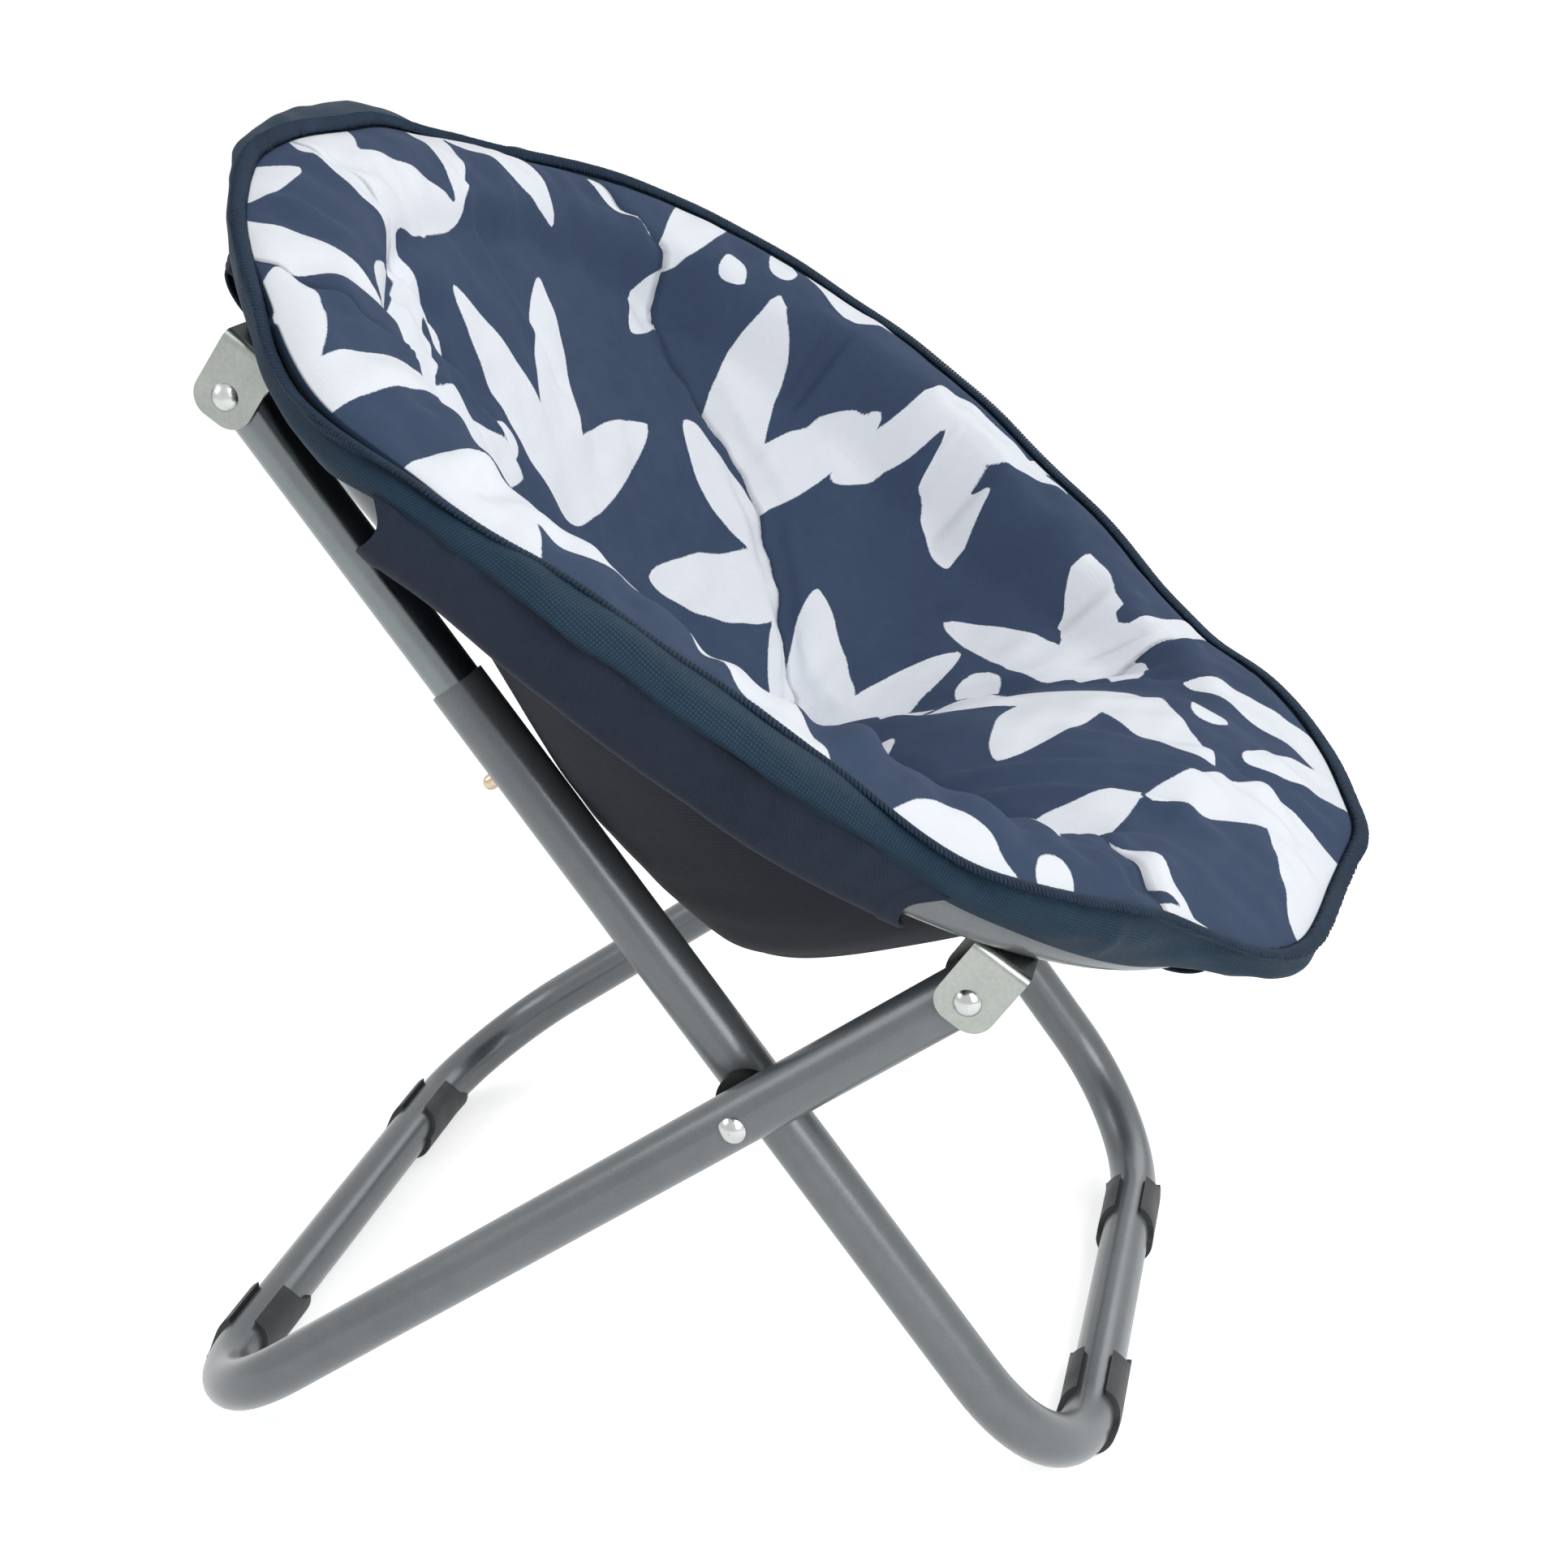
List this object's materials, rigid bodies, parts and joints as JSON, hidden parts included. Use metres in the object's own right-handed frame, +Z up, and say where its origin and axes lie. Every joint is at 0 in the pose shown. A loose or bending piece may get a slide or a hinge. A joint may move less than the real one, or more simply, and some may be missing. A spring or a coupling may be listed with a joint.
{
  "type": "moon chair",
  "caption": "Folding bowl-shaped chair: a padded cloth seat on a round tube ring, held by crossing bent-tube leg frames whose upper ends telescope.",
  "frame": {"origin": "on the floor, at the middle of the chair's width and length", "axes": "+X to the right as seen from the front, across the chair; +Y to its rear; +Z up"},
  "size_m": [0.5748, 0.5397, 0.6047],
  "materials": {
    "grey_paint": "satin metallic grey paint",
    "bright_tube": "bright plated",
    "bracket_zinc": "bright zinc plate",
    "rivet_steel": "domed, bright plated",
    "spring_steel": "plain spring strip",
    "button_nickel": "nickel plated",
    "clip_plastic": "dark grey, matte",
    "spacer_plastic": "black, matte",
    "shell_cloth": "dark navy woven cloth",
    "cushion_cloth": "navy printed cotton",
    "border_mesh": "dark blue mesh band",
    "pocket_cloth": "dark navy woven cloth"
  },
  "bodies": {
    "seat": {"bracket_fixings": "rivet_steel", "front_bracket_left": "bracket_zinc", "front_bracket_right": "bracket_zinc", "front_pivot_rivet_left": "rivet_steel", "front_pivot_rivet_right": "rivet_steel", "front_pocket": "pocket_cloth", "rear_bracket_left": "bracket_zinc", "rear_bracket_right": "bracket_zinc", "rear_pivot_rivet_left": "rivet_steel", "rear_pivot_rivet_right": "rivet_steel", "rear_pocket": "pocket_cloth", "rim_border": "border_mesh", "seat_cushion": "cushion_cloth", "seat_ring": "grey_paint", "seat_shell": "shell_cloth", "side_pocket_left": "pocket_cloth", "side_pocket_right": "pocket_cloth"},
    "rear_frame": {"rear_leg_frame": "grey_paint", "rear_foot_clips": "clip_plastic", "cross_rivets": "rivet_steel", "cross_spacers": "spacer_plastic"},
    "slide_tubes": {"slide_tube_left": "bright_tube", "slide_tube_right": "bright_tube", "button_spring_left": "spring_steel", "button_spring_right": "spring_steel"},
    "front_frame": {"front_leg_frame": "grey_paint", "front_foot_clips": "clip_plastic", "cross_rivet_tails": "rivet_steel"},
    "button_left": {"snap_button_left": "button_nickel"},
    "button_right": {"snap_button_right": "button_nickel"}
  },
  "joints": [
    {"name": "rear_frame_fold", "type": "hinge", "parent": "seat", "child": "rear_frame", "pos_m": [0, -0.12929, 0.28314], "axis": [1, 0, 0], "range_deg": [0, 68], "deforming": ["seat_shell", "seat_cushion"]},
    {"name": "slide_tube_swing", "type": "hinge", "parent": "seat", "child": "slide_tubes", "pos_m": [0, 0.18232, 0.51121], "axis": [1, 0, 0], "range_deg": [-16.89, 0]},
    {"name": "front_frame_slide", "type": "slide", "parent": "slide_tubes", "child": "front_frame", "axis": [0, 0.5801, 0.8145], "range_m": [0, 0.1006]},
    {"name": "button_press_left", "type": "slide", "parent": "slide_tubes", "child": "button_left", "axis": [0, -0.8145, 0.5801], "range_m": [0, 0.0079], "stiffness_N_per_m": 300, "deforming": ["snap_button_left", "button_spring_left"]},
    {"name": "button_press_right", "type": "slide", "parent": "slide_tubes", "child": "button_right", "axis": [0, -0.8145, 0.5801], "range_m": [0, 0.0079], "stiffness_N_per_m": 300, "deforming": ["snap_button_right", "button_spring_right"]}
  ],
  "couplings": [
    {"joint": "slide_tube_swing", "follows": "rear_frame_fold", "ratio": -0.24833},
    {"joint": "front_frame_slide", "follows": "rear_frame_fold", "m_per_rad": 0.084752}
  ]
}
